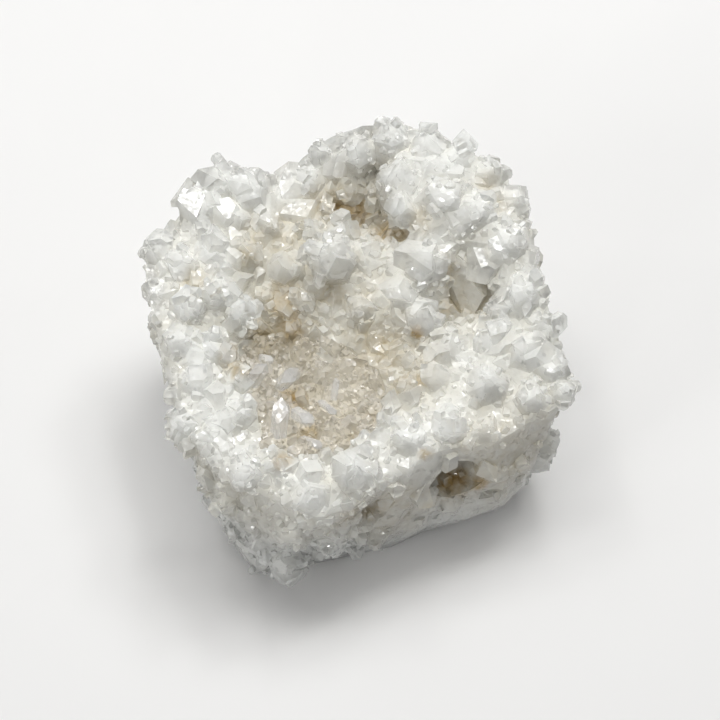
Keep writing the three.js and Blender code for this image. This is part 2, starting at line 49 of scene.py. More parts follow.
# Quartz mass. A broken lump of vein quartz, its top and front grown over with blunt
# six-sided crystals. Its skin is the solid's own, worn a little uneven; the crystals are
# seeded on it, the larger ones set one by one, and a union joins them. A few loose bits remain.
GOLDEN_TURN = 2.39996
QUARTZ_IOR = 1.544


def put_in(tree, inlet, value):
    """Links a node or a socket to an inlet, or sets the inlet's own value."""
    if isinstance(value, bpy.types.Node):
        value = next(s for s in value.outputs if s.enabled)
    if isinstance(value, bpy.types.NodeSocket):
        tree.links.new(value, inlet)
    else:
        inlet.default_value = value


def put(tree, kind, values=None, **settings):
    """Adds a node, sets its properties and fills its inlets by name or number."""
    made = tree.nodes.new(kind)
    for name, value in settings.items():
        setattr(made, name, value)
    for name, value in (values or {}).items():
        if isinstance(name, int):
            inlet = made.inputs[name]
        else:
            inlet = next(s for s in made.inputs if s.name == name and s.enabled)
        put_in(tree, inlet, value)
    return made


def outlet(made, name):
    return next(s for s in made.outputs if s.name == name and s.enabled)


def sums(tree, operation, first, second=0.0, third=0.0, clamp=False):
    return put(
        tree, "ShaderNodeMath", {0: first, 1: second, 2: third},
        operation=operation, use_clamp=clamp)


def vectors(tree, operation, first, second=(0.0, 0.0, 0.0)):
    return put(tree, "ShaderNodeVectorMath", {0: first, 1: second}, operation=operation)


def scaled(tree, first, size):
    return put(tree, "ShaderNodeVectorMath", {0: first, "Scale": size}, operation="SCALE")


def blank_object(name, mesh):
    made = bpy.data.objects.new(name, mesh)
    bpy.context.scene.collection.objects.link(made)
    return made


def merged_copy(node, name):
    """A copy of a solid's mesh with its loose triangles joined."""
    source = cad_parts[node]
    mesh = source.data.copy()
    mesh.name = name
    mesh.transform(source.matrix_world)
    if "custom_normal" in mesh.attributes:
        mesh.attributes.remove(mesh.attributes["custom_normal"])
    shape = bmesh.new()
    shape.from_mesh(mesh)
    bmesh.ops.remove_doubles(shape, verts=shape.verts, dist=1e-7)
    shape.to_mesh(mesh)
    shape.free()
    mesh.materials.clear()
    return mesh


def divide_long(mesh, longest, rounds, where=lambda spot: True):
    """Halves the long edges, so that the skin has points enough to be worn."""
    shape = bmesh.new()
    shape.from_mesh(mesh)
    for _ in range(rounds):
        edges = [
            edge for edge in shape.edges
            if edge.calc_length() > longest and where((edge.verts[0].co + edge.verts[1].co) / 2)]
        bmesh.ops.subdivide_edges(shape, edges=edges, cuts=1)
        bmesh.ops.triangulate(shape, faces=shape.faces[:])
    shape.to_mesh(mesh)
    shape.free()


def mark(mesh, name, values):
    made = mesh.attributes.new(name, "FLOAT", "POINT")
    made.data.foreach_set("value", values)


def trimmed(shape, facing, point):
    """Cuts a closed shape off along a plane and closes the cut."""
    cut = bmesh.ops.bisect_plane(
        shape, geom=shape.verts[:] + shape.edges[:] + shape.faces[:],
        plane_co=point, plane_no=facing, clear_outer=True)
    edges = [part for part in cut["geom_cut"] if isinstance(part, bmesh.types.BMEdge)]
    if edges:
        bmesh.ops.contextual_create(shape, geom=edges)


def crystal_shape(chance, height, pitch, spread, tips=6):
    """A blunt six-sided crystal of radius 1, its tip faces uneven, its root below zero."""
    shape = bmesh.new()
    bmesh.ops.create_cone(
        shape, cap_ends=True, segments=6, radius1=0.98, radius2=0.94,
        depth=height + 1.0, matrix=Matrix.Translation((0, 0, (height - 0.8) / 2)))
    bmesh.ops.scale(shape, vec=(1, chance.uniform(0.7, 1.0), 1), verts=shape.verts)
    for turn in range(tips):
        angle = math.radians(30 + 360 / tips * turn)
        slope = math.radians(pitch + chance.uniform(-5, 5))
        facing = Vector((
            math.sin(slope) * math.cos(angle), math.sin(slope) * math.sin(angle), math.cos(slope)))
        reach = height * math.cos(slope) + (0.2 if turn % 2 else 0.0)
        trimmed(shape, facing, facing * (reach + chance.uniform(-spread, spread)))
    bmesh.ops.remove_doubles(shape, verts=shape.verts, dist=1e-2)
    bmesh.ops.recalc_face_normals(shape, faces=shape.faces)
    return shape


def block_shape(chance, faces):
    """A blocky grain of radius 1 with a few large flat faces, each turned its own way."""
    shape = bmesh.new()
    bmesh.ops.create_cube(shape, size=4.0)
    for index in range(faces):
        height = 1 - 2 * (index + 0.5) / faces
        angle = index * GOLDEN_TURN + chance.uniform(-0.6, 0.6)
        ring = math.sqrt(max(0.0, 1 - height * height))
        rise = height + chance.uniform(-0.2, 0.2)
        facing = Vector((ring * math.cos(angle), ring * math.sin(angle), rise))
        facing = facing.normalized()
        trimmed(shape, facing, facing * chance.uniform(0.58, 0.95))
    bmesh.ops.remove_doubles(shape, verts=shape.verts, dist=1e-2)
    bmesh.ops.scale(
        shape, verts=shape.verts,
        vec=(chance.uniform(0.8, 1.1), chance.uniform(0.8, 1.1), chance.uniform(0.8, 1.0)))
    bmesh.ops.recalc_face_normals(shape, faces=shape.faces)
    return shape


def seed_object(name, collection, shape):
    mesh = bpy.data.meshes.new(name)
    top = max(vertex.co.z for vertex in shape.verts)
    shape.to_mesh(mesh)
    shape.free()
    mark(mesh, "rise", [max(0.0, min(1.0, vertex.co.z / top)) for vertex in mesh.vertices])
    made = bpy.data.objects.new(name, mesh)
    collection.objects.link(made)


seed_chance = random.Random(5)
large_seeds = bpy.data.collections.new("large_seeds")
small_seeds = bpy.data.collections.new("small_seeds")
for index, (height, pitch, spread) in enumerate((
        (0.8, 52, 0.15), (1.0, 50, 0.25), (1.2, 52, 0.2), (1.3, 51, 0.2),
        (0.9, 46, 0.25), (1.5, 52, 0.2))):
    seed_object(
        f"large_seed_{index}", large_seeds, crystal_shape(seed_chance, height, pitch, spread))
for index in range(3):
    seed_object(f"large_seed_{index + 6}", large_seeds, block_shape(seed_chance, 10))
for index, (height, pitch, spread) in enumerate((
        (1.0, 50, 0.2), (1.3, 48, 0.2), (0.8, 52, 0.15), (1.6, 52, 0.25), (1.1, 44, 0.2))):
    seed_object(
        f"small_seed_{index}", small_seeds,
        crystal_shape(seed_chance, height, pitch, spread, tips=3))
for index in range(3):
    seed_object(f"small_seed_{index + 5}", small_seeds, block_shape(seed_chance, 8))


def seeded(tree, skin, collection, spacing, smallest, largest, tilt, sink, patch, number):
    """Plants one size of crystal over a skin, no two nearer than the spacing."""
    grows = put(tree, "GeometryNodeInputNamedAttribute", {"Name": "grows"}, data_type="FLOAT")
    points = put(
        tree, "GeometryNodeDistributePointsOnFaces",
        {"Mesh": skin, "Distance Min": spacing, "Density Max": 4.0e6,
         "Density Factor": outlet(grows, "Attribute"), "Seed": number},
        distribute_method="POISSON")
    lean = put(
        tree, "FunctionNodeRandomValue",
        {"Min": (-1.0, -1.0, 0.0), "Max": (1.0, 1.0, 6.28), "Seed": number},
        data_type="FLOAT_VECTOR")
    lean = vectors(
        tree, "MULTIPLY", lean, put(tree, "ShaderNodeCombineXYZ", {"X": tilt, "Y": tilt, "Z": 1.0}))
    turned = put(
        tree, "FunctionNodeRotateRotation",
        {"Rotation": outlet(points, "Rotation"),
         "Rotate By": put(tree, "FunctionNodeEulerToRotation", {0: lean})},
        rotation_space="LOCAL")
    field = put(
        tree, "ShaderNodeTexNoise",
        {"Vector": put(tree, "GeometryNodeInputPosition"), "Scale": patch, "Detail": 1.0})
    field = put(
        tree, "ShaderNodeMapRange", {"Value": field, "From Min": 0.38, "From Max": 0.66},
        clamp=True)
    chance = put(
        tree, "FunctionNodeRandomValue",
        {"Min": 0.0, "Max": 1.0, "Seed": sums(tree, "ADD", number, 7.0)}, data_type="FLOAT")
    share = sums(
        tree, "MULTIPLY", sums(tree, "POWER", chance, 1.5), sums(tree, "ADD", field, 0.4),
        clamp=True)
    size = put(
        tree, "ShaderNodeMapRange", {"Value": share, "To Min": smallest, "To Max": largest},
        clamp=True)
    coarse = put(tree, "GeometryNodeInputNamedAttribute", {"Name": "coarse"}, data_type="FLOAT")
    size = sums(tree, "MULTIPLY", size, outlet(coarse, "Attribute"))
    flush = put(tree, "GeometryNodeInputNamedAttribute", {"Name": "flush"}, data_type="FLOAT")
    low = sums(tree, "MULTIPLY_ADD", outlet(flush, "Attribute"), -0.45, 1.0)
    tall = sums(tree, "MULTIPLY", size, low)
    planted = put(
        tree, "GeometryNodeInstanceOnPoints",
        {"Points": outlet(points, "Points"),
         "Instance": put(
             tree, "GeometryNodeCollectionInfo",
             {"Collection": collection, "Separate Children": True, "Reset Children": True}),
         "Pick Instance": True, "Rotation": turned,
         "Scale": put(tree, "ShaderNodeCombineXYZ", {"X": size, "Y": size, "Z": tall})})
    sunk = put(
        tree, "GeometryNodeTranslateInstances",
        {"Instances": planted, "Local Space": True,
         "Translation": put(
             tree, "ShaderNodeCombineXYZ", {"Z": sums(tree, "MULTIPLY", tall, sink)})})
    tone = put(
        tree, "FunctionNodeRandomValue",
        {"Min": 0.0, "Max": 1.0, "Seed": sums(tree, "ADD", number, 3.0)}, data_type="FLOAT")
    toned = put(
        tree, "GeometryNodeStoreNamedAttribute",
        {"Geometry": sunk, "Name": "tone", "Value": tone}, data_type="FLOAT", domain="INSTANCE")
    return put(tree, "GeometryNodeRealizeInstances", {0: toned})


def druse_tree():
    """Wears a skin, plants two sizes of crystal over it and unites them with it."""
    tree = bpy.data.node_groups.new("druse", "GeometryNodeTree")
    for name, kind in (
            ("Skin", "Geometry"), ("Set By Hand", "Object"), ("Large Seeds", "Collection"),
            ("Small Seeds", "Collection"), ("Large Spacing", "Float"), ("Small Spacing", "Float"),
            ("Large From", "Float"), ("Large To", "Float"), ("Small From", "Float"),
            ("Small To", "Float"),
            ("Patch", "Float"), ("Tilt", "Float"), ("Sink", "Float"), ("Wear", "Float"),
            ("Seed", "Int"), ("Material", "Material")):
        tree.interface.new_socket(name, in_out="INPUT", socket_type="NodeSocket" + kind)
    tree.interface.new_socket("Shell", in_out="OUTPUT", socket_type="NodeSocketGeometry")
    given = put(tree, "NodeGroupInput")

    def named(name):
        return outlet(given, name)

    # The skin, worn uneven along its own normals.
    here = put(tree, "GeometryNodeInputPosition")
    wear = put(
        tree, "ShaderNodeTexNoise",
        {"Vector": here, "Scale": 420.0, "Detail": 3.0, "Roughness": 0.6})
    grit = put(tree, "ShaderNodeTexVoronoi", {"Vector": here, "Scale": 900.0}, feature="F1")
    wear = sums(tree, "MULTIPLY_ADD", outlet(grit, "Distance"), 0.45, wear)
    wear = sums(tree, "MULTIPLY", sums(tree, "SUBTRACT", wear, 0.72), named("Wear"))
    keep = put(tree, "GeometryNodeInputNamedAttribute", {"Name": "wear"}, data_type="FLOAT")
    wear = sums(tree, "MULTIPLY", wear, outlet(keep, "Attribute"))
    push = scaled(tree, outlet(put(tree, "GeometryNodeInputNormal"), "Normal"), wear)
    skin = put(tree, "GeometryNodeSetPosition", {"Geometry": named("Skin"), "Offset": push})

    large = seeded(
        tree, skin, named("Large Seeds"), named("Large Spacing"), named("Large From"),
        named("Large To"), named("Tilt"), named("Sink"), named("Patch"), named("Seed"))
    small = seeded(
        tree, skin, named("Small Seeds"), named("Small Spacing"), named("Small From"),
        named("Small To"), named("Tilt"), named("Sink"), named("Patch"),
        sums(tree, "ADD", named("Seed"), 31.0))
    by_hand = put(
        tree, "GeometryNodeObjectInfo", {"Object": named("Set By Hand")},
        transform_space="ORIGINAL")
    joined = put(tree, "GeometryNodeMeshBoolean", operation="UNION", solver="MANIFOLD")
    for source in (
            small.outputs[0], large.outputs[0], outlet(by_hand, "Geometry"), skin.outputs[0]):
        tree.links.new(source, joined.inputs["Mesh 2"])
    coated = put(
        tree, "GeometryNodeSetMaterial",
        {"Geometry": outlet(joined, "Mesh"), "Material": named("Material")})
    put(tree, "NodeGroupOutput", {"Shell": coated})
    return tree


def run_tree(tree, mesh, name, given):
    """Runs a tree on a mesh with its named inputs set, and gives the plain mesh."""
    carrier = blank_object(name + "_source", mesh)
    step = carrier.modifiers.new("step", "NODES")
    step.node_group = tree
    for item in tree.interface.items_tree:
        if item.in_out == "INPUT" and item.name in given:
            step[item.identifier] = given[item.name]
    sight = bpy.context.evaluated_depsgraph_get()
    made = bpy.data.meshes.new_from_object(
        carrier.evaluated_get(sight), preserve_all_data_layers=True, depsgraph=sight)
    made.name = name
    bpy.data.objects.remove(carrier)
    for spare in ("custom_normal", "sharp_face", "id", "grows", "wear", "coarse", "flush"):
        if spare in made.attributes:
            made.attributes.remove(made.attributes[spare])
    return made


druse = druse_tree()
quartz_skin = merged_copy("quartz_matrix", "quartz_skin")
divide_long(quartz_skin, 1.2 * MM, 2)
divide_long(
    quartz_skin, 0.62 * MM, 1,
    lambda spot: 0.5 * MM < spot.z < 15 * MM and spot.y < -8 * MM)

# Where the crystals are coarser or finer than elsewhere: place, reach, size factor.
COARSENESS = (
    ((-17, 16, 25), 7, 1.25), ((-8, 8, 22), 6, 1.15), ((10, 17, 28), 9, 0.75),
    ((0, 20, 27), 6, 0.7), ((15, -6, 22), 8, 0.75), ((-10, -23, 12), 12, 0.85),
    ((3, -3, 18), 5, 0.8), ((6, 6, 25), 5, 1.1), ((-20, -8, 20), 8, 0.85))
# The front right side is a fresh break, where few crystals stand.
BREAK_CENTRE = Vector((14, -17, 11))
BREAK_REACH = 15


def eased(value, low, high):
    share = max(0.0, min(1.0, (value - low) / (high - low)))
    return share * share * (3 - 2 * share)


def broken_share(spot, facing):
    near = 1 - eased((spot - BREAK_CENTRE).length, BREAK_REACH * 0.75, BREAK_REACH)
    return near * (1 - eased(facing.z, 0.35, 0.7))


def mark_quartz(mesh, crust, hand):
    """Says where crystals grow, how coarse and how flush, and where the skin may be worn."""
    growth, worn, coarse, flush = [], [], [], []
    for vertex in mesh.vertices:
        spot = vertex.co / MM
        facing = vertex.normal
        grows = eased(facing.z, -0.5, -0.1) * eased(spot.z, 0.8, 2.0)
        grows *= 1 - 0.9 * broken_share(spot, facing)
        if crust.find_nearest(vertex.co, 0.7 * MM)[0] is not None:
            grows = 0.0
        for place, radius, *_ in hand:
            if (spot - Vector(place)).length < radius * 1.1:
                grows *= 0.04
                break
        growth.append(grows)
        worn.append(eased(spot.z, 0.3, 1.2))
        size = 0.72 + 0.28 * eased(facing.z, 0.0, 0.55)
        for place, reach, factor in COARSENESS:
            share = 1 - eased((spot - Vector(place)).length, reach * 0.5, reach)
            size *= 1 + (factor - 1) * share
        coarse.append(size)
        side = max(abs(facing.x), facing.y)
        edge = max(eased(abs(spot.x), 19, 25), eased(spot.y, 17, 24))
        wall = eased(side, 0.45, 0.85) * (1 - eased(facing.z, 0.2, 0.7))
        flush.append(max(wall, 0.7 * edge))
    mark(mesh, "grows", growth)
    mark(mesh, "wear", worn)
    mark(mesh, "coarse", coarse)
    mark(mesh, "flush", flush)
    mark(mesh, "rise", [0.3] * len(growth))
    mark(mesh, "tone", [0.5] * len(growth))
    mark(mesh, "clean", [0.0] * len(growth))


def tree_of(mesh):
    return BVHTree.FromPolygons([v.co for v in mesh.vertices], [p.vertices for p in mesh.polygons])


# Crystals set one by one: place of the middle, radius, lean, stretch along the axis, kind.
# The kinds are point, block and slab; a slab has one broad flat face across its top.
# The last five close a gap at the crust's back rim and fill the pit on the right.
HAND_SET = (
    ((-17.4, 18.5, 25.2), 1.9, (-0.2, 0.1), 1.0, "block"),
    ((-20.0, 15.6, 24.6), 1.9, (-0.4, 0.0), 1.1, "block"),
    ((-14.0, 17.9, 25.4), 2.2, (-0.05, 0.1), 0.9, "slab"),
    ((-15.9, 14.6, 24.0), 2.1, (0.1, -0.1), 1.2, "slab"),
    ((-22.3, 13.2, 21.8), 1.5, (-0.3, 0.1), 1.0, "block"),
    ((-24.0, 10.2, 21.2), 1.7, (-0.5, 0.0), 1.3, "point"),
    ((-10.8, 15.9, 23.2), 2.1, (0.0, -0.3), 1.0, "block"),
    ((-7.2, 15.5, 22.6), 2.0, (0.1, -0.4), 1.0, "block"),
    ((-8.0, 18.8, 23.8), 2.4, (-0.1, 0.2), 0.8, "block"),
    ((-2.6, 20.3, 25.2), 2.1, (-0.2, -0.2), 1.0, "block"),
    ((-5.2, 21.2, 26.2), 1.0, (-0.4, 0.1), 1.5, "point"),
    ((-8.0, 11.3, 21.2), 1.2, (0.0, -0.2), 1.2, "point"),
    ((-8.9, 8.2, 21.8), 2.3, (-0.1, -0.3), 1.1, "point"),
    ((-2.7, 7.4, 24.2), 2.6, (0.1, -0.3), 1.2, "point"),
    ((-12.0, 8.0, 20.6), 1.0, (0.2, 0.0), 1.2, "slab"),
    ((-14.7, 7.0, 20.6), 1.9, (0.1, 0.1), 1.0, "block"),
    ((-19.6, 6.8, 20.8), 2.0, (-0.1, -0.1), 1.0, "block"),
    ((-1.0, 12.3, 23.2), 1.5, (0.0, 0.1), 1.4, "point"),
    ((1.7, 16.9, 22.8), 1.0, (0.2, 0.0), 1.4, "slab"),
    ((7.2, 7.6, 25.0), 2.7, (-0.2, -0.2), 0.9, "block"),
    ((4.6, 4.4, 22.8), 2.0, (-0.1, -0.4), 1.0, "block"),
    ((7.5, 2.3, 21.8), 2.1, (0.1, -0.3), 1.0, "block"),
    ((11.4, 12.8, 26.2), 2.1, (-0.1, -0.2), 0.9, "block"),
    ((14.9, 8.0, 23.0), 2.6, (0.0, -0.4), 0.8, "block"),
    ((11.5, 7.4, 18.6), 0.9, (0.2, 0.2), 1.6, "point"),
    ((17.9, 3.6, 22.2), 2.3, (-0.2, -0.1), 1.0, "block"),
    ((18.4, 16.4, 25.0), 1.7, (0.3, 0.0), 1.1, "block"),
    ((15.3, 18.8, 26.2), 1.4, (0.1, 0.3), 1.0, "block"),
    ((17.0, 13.4, 25.2), 1.3, (0.2, 0.0), 1.2, "slab"),
    ((19.8, 9.1, 22.6), 1.9, (0.5, 0.0), 1.0, "block"),
    ((4.8, 14.4, 26.2), 2.0, (-0.1, -0.2), 0.9, "point"),
    ((8.5, 20.8, 28.0), 1.7, (0.2, 0.2), 1.0, "block"),
    ((11.4, 1.2, 18.2), 1.7, (-0.1, 0.1), 1.2, "point"),
    ((14.0, 0.9, 19.8), 0.8, (0.2, 0.0), 1.6, "slab"),
    ((9.1, -1.7, 19.8), 0.8, (0.2, 0.0), 1.6, "slab"),
    ((17.2, -1.8, 20.6), 2.1, (0.1, -0.2), 0.9, "block"),
    ((21.0, -3.0, 20.8), 2.3, (0.3, -0.1), 1.0, "block"),
    ((-1.6, -18.0, 20.0), 2.4, (0.1, -0.5), 1.1, "point"),
    ((-5.6, -18.2, 19.2), 1.9, (-0.2, -0.4), 1.1, "point"),
    ((-19.6, -13.0, 17.6), 1.9, (-0.5, -0.2), 1.0, "block"),
    ((-16.6, -16.8, 17.4), 1.1, (-0.1, 0.0), 1.2, "slab"),
    ((-14.6, -18.6, 16.4), 1.6, (-0.1, -0.6), 0.9, "block"),
    ((-8.2, -23.6, 4.6), 1.6, (-0.1, -0.8), 1.0, "block"),
    ((7.0, -16.9, 12.6), 1.9, (0.1, -0.8), 0.9, "block"),
    ((10.4, -14.2, 15.4), 1.7, (0.0, -0.6), 1.0, "point"),
    ((3.2, -17.8, 12.8), 1.5, (0.0, -0.8), 1.1, "block"),
    ((-3.9, -0.6, 17.0), 1.9, (-0.1, -0.2), 1.0, "block"),
    ((-13.9, 0.5, 16.7), 1.2, (0.3, -0.5), 1.0, "block"),
    ((-12.2, 1.6, 16.3), 1.1, (0.2, -0.6), 1.1, "block"),
    ((-10.6, 2.0, 15.9), 1.2, (0.0, -0.6), 1.0, "block"),
    ((-9.2, 1.9, 16.3), 1.0, (-0.2, -0.5), 1.0, "point"),
    ((13.0, 7.4, 17.7), 2.9, (0.1, -0.3), 0.9, "block"))


def hand_set_mesh():
    """The larger crystals, each turned to its own lean and set at its own place."""
    chance = random.Random(21)
    rises, tones = [], []
    whole = bmesh.new()
    for place, radius, lean, stretch, kind in HAND_SET:
        if kind == "point":
            shape = crystal_shape(chance, chance.uniform(1.0, 1.3), 50, 0.22)
        elif kind == "slab":
            shape = crystal_shape(chance, 1.3, 56, 0.2)
            trimmed(shape, Vector((0, 0, 1)), Vector((0, 0, 0.55)))
        else:
            shape = block_shape(chance, 10)
        axis = Vector((lean[0], lean[1], 1)).normalized()
        seat = Vector(place) + axis * 0.15 * radius
        turn = (
            Matrix.Translation(seat * MM) @ axis.to_track_quat("Z", "Y").to_matrix().to_4x4()
            @ Matrix.Rotation(chance.uniform(0, 6.28), 4, "Z")
            @ Matrix.Diagonal((radius * MM, radius * MM, radius * stretch * MM, 1)))
        top = max(vertex.co.z for vertex in shape.verts)
        tone = chance.random()
        rises += [max(0.0, min(1.0, vertex.co.z / top)) for vertex in shape.verts]
        tones += [tone] * len(shape.verts)
        part = bpy.data.meshes.new("part")
        shape.transform(turn)
        shape.to_mesh(part)
        shape.free()
        whole.from_mesh(part)
        bpy.data.meshes.remove(part)
    mesh = bpy.data.meshes.new("hand_set")
    whole.to_mesh(mesh)
    whole.free()
    mark(mesh, "rise", rises)
    mark(mesh, "tone", tones)
    mark(mesh, "clean", [1.0] * len(tones))
    return mesh


hand_set = blank_object("hand_set", hand_set_mesh())
crust_skin = merged_copy("hollow_crust", "crust_skin")
mark_quartz(quartz_skin, tree_of(crust_skin), HAND_SET)

# Iron stain, with painted shade in the last two rows: place, reach, strength, and how far
# it goes from tan to rust brown.
STAINS_AND_SHADE = (
    ((-8.8, 13.0, 22.5), 4.0, 0.5, 0.1), ((-3.5, 16.5, 22.9), 4.5, 0.7, 0.2),
    ((-2.3, 17.4, 19.7), 3.0, 1.0, 0.7), ((0.1, 17.6, 19.6), 3.0, 1.0, 0.7),
    ((3.1, 13.3, 22.9), 2.6, 1.0, 0.6), ((4.9, 12.5, 22.6), 2.2, 0.9, 0.5),
    ((10.5, 7.7, 22.6), 2.4, 0.6, 0.2), ((12.7, 7.3, 17.3), 5.5, 0.9, 0.15),
    ((10.9, 4.1, 20.1), 1.6, 0.7, 0.5), ((15.4, 17.2, 26.4), 2.4, 0.5, 0.1),
    ((16.8, 14.4, 26.4), 2.2, 0.5, 0.1), ((-19.3, 6.5, 21.7), 3.0, 0.7, 0.1),
    ((-13.0, 8.5, 23.0), 2.6, 0.5, 0.1), ((-8.8, 5.4, 19.3), 3.4, 0.9, 0.4),
    ((-8.2, 2.5, 17.2), 3.2, 0.9, 0.5), ((-15.0, -2.8, 20.4), 2.6, 0.8, 0.4),
    ((-14.4, -5.0, 20.7), 1.6, 1.0, 0.6), ((2.5, -0.7, 18.0), 5.0, 0.6, 0.2),
    ((4.9, -5.8, 19.7), 4.0, 0.5, 0.2), ((6.7, -0.2, 20.9), 1.4, 1.0, 1.0),
    ((7.3, -5.8, 19.8), 1.2, 0.9, 0.8), ((-8.0, -5.7, 14.3), 2.6, 1.0, 0.8),
    ((-5.8, -11.8, 17.8), 2.4, 0.8, 0.6), ((-8.9, -17.1, 20.6), 1.8, 0.8, 0.7),
    ((-0.7, -12.3, 16.8), 2.0, 0.7, 0.3), ((1.3, -9.5, 17.8), 1.8, 0.7, 0.3),
    ((7.8, -15.4, 18.7), 1.2, 0.9, 0.7), ((11.1, -14.2, 9.9), 3.0, 1.0, 0.9),
    ((14.4, -15.2, 10.7), 2.0, 1.0, 1.0), ((-1.0, -21.7, 15.5), 2.6, 0.6, 0.2),
    ((1.3, -18.7, 12.4), 2.8, 0.7, 0.3), ((7.3, 12.4, 26.2), 3.0, 0.5, 0.1),
    ((-12.8, 10.9, 23.5), 3.6, 0.5, 0.1), ((-3.4, 5.5, 21.5), 3.0, 0.5, 0.2),
    ((-7.0, -0.5, 18.8), 4.0, 0.5, 0.2), ((-6.0, -9.0, 16.0), 9.0, 0.3, 0.1),
    ((-3.0, 2.0, 19.0), 12.0, 0.4, 0.05), ((5.0, -4.0, 19.0), 9.0, 0.4, 0.1),
    ((-9.0, 10.0, 22.0), 9.0, 0.3, 0.05), ((0.0, 16.0, 22.0), 6.0, 0.4, 0.15),
    # The last two rows darken the broken right side and the front under its rim: partly their
    # olive-grey colour, partly painted shade, as those faces turn from the windows.
    ((-11.5, 1.6, 16.5), 3.8, 0.85, 0.3), ((18.0, -15.0, 13.0), 12.0, 0.6, 0.04),
    ((6.0, -21.0, 10.0), 9.0, 0.6, 0.08))


SKY_WAYS = 14


def sky_seen(mesh, reach):
    """How open each point is to the sky over it, from 0 to 1."""
    tree = tree_of(mesh)
    ways = []
    for index in range(SKY_WAYS):
        height = 1 - (index + 0.5) / SKY_WAYS * 0.85
        ring = math.sqrt(1 - height * height)
        angle = index * GOLDEN_TURN
        ways.append(Vector((ring * math.cos(angle), ring * math.sin(angle), height)))
    seen = []
    for vertex in mesh.vertices:
        start = vertex.co + vertex.normal * 0.4 * MM
        free = sum(1 for way in ways if tree.ray_cast(start, way, reach)[0] is None)
        seen.append(free / len(ways))
    return seen


def stained_and_shaded(mesh, seen):
    """Marks tan stain and rust where they are listed, and where the sky doesn't reach a tan
    that is partly the stain of the recesses and partly painted shade.
    """
    stain_and_shade, rust = [], []
    for vertex, open_share in zip(mesh.vertices, seen):
        spot = vertex.co / MM
        # Painted shade in part: the less of the sky a point sees, above 8 mm up, the more tan it is
        # made.
        depth = (1 - open_share) * eased(spot.z, 8, 14)
        clean = 1 - 0.85 * depth ** 0.8
        hue = 0.0
        for place, reach, strength, brown in STAINS_AND_SHADE:
            away = (spot - Vector(place)).length
            if away < reach:
                share = strength * (1 - eased(away, reach * 0.2, reach))
                clean *= 1 - share
                hue = max(hue, brown * share)
        stain_and_shade.append(1 - clean)
        rust.append(hue)
    mark(mesh, "stain_and_shade", stain_and_shade)
    mark(mesh, "rust", rust)


def cloud_group():
    """Veils and clouds in quartz: a soft mask on the piece's own coordinates."""
    tree = bpy.data.node_groups.new("quartz_clouds", "ShaderNodeTree")
    tree.interface.new_socket("Grain", in_out="INPUT", socket_type="NodeSocketFloat")
    tree.interface.new_socket("Clouds", in_out="OUTPUT", socket_type="NodeSocketFloat")
    given = put(tree, "NodeGroupInput")
    place = put(tree, "ShaderNodeTexCoord")
    broad = put(
        tree, "ShaderNodeTexNoise",
        {"Vector": outlet(place, "Object"), "Scale": outlet(given, "Grain"), "Detail": 3.0,
         "Roughness": 0.62})
    mask = put(
        tree, "ShaderNodeMapRange", {"Value": broad, "From Min": 0.36, "From Max": 0.66},
        clamp=True)
    put(tree, "NodeGroupOutput", {"Clouds": mask})
    return tree


def stain_and_shade_group():
    """Iron stain and painted shade over a clean colour, from the marks on the mesh, broken up
    by fine grain.
    """
    tree = bpy.data.node_groups.new("iron_stain_and_shade", "ShaderNodeTree")
    for name, kind in (
            ("Clean", "Color"), ("Tan And Shade", "Color"), ("Rust", "Color"), ("Strength", "Float")):
        tree.interface.new_socket(name, in_out="INPUT", socket_type="NodeSocket" + kind)
    tree.interface.new_socket("Color", in_out="OUTPUT", socket_type="NodeSocketColor")
    given = put(tree, "NodeGroupInput")
    place = put(tree, "ShaderNodeTexCoord")
    grain = put(
        tree, "ShaderNodeTexNoise",
        {"Vector": outlet(place, "Object"), "Scale": 620.0, "Detail": 2.0, "Roughness": 0.65})
    grain = put(
        tree, "ShaderNodeMapRange",
        {"Value": grain, "From Min": 0.3, "From Max": 0.7, "To Min": 0.45, "To Max": 1.35})
    stain_and_shade = put(tree, "ShaderNodeAttribute", attribute_name="stain_and_shade")
    rust = put(tree, "ShaderNodeAttribute", attribute_name="rust")
    # How far toward tan: the stain and the painted shade alike, broken up by the grain.
    amount = sums(
        tree, "MULTIPLY", sums(tree, "MULTIPLY", outlet(stain_and_shade, "Fac"), grain),
        outlet(given, "Strength"), clamp=True)
    tan_and_shade = put(
        tree, "ShaderNodeMix",
        {0: amount, "A": outlet(given, "Clean"), "B": outlet(given, "Tan And Shade")}, data_type="RGBA")
    brown = sums(
        tree, "MULTIPLY", sums(tree, "MULTIPLY", outlet(rust, "Fac"), grain),
        outlet(given, "Strength"), clamp=True)
    both = put(
        tree, "ShaderNodeMix",
        {0: brown, "A": outlet(tan_and_shade, "Result"), "B": outlet(given, "Rust")}, data_type="RGBA")
    put(tree, "NodeGroupOutput", {"Color": outlet(both, "Result")})
    return tree


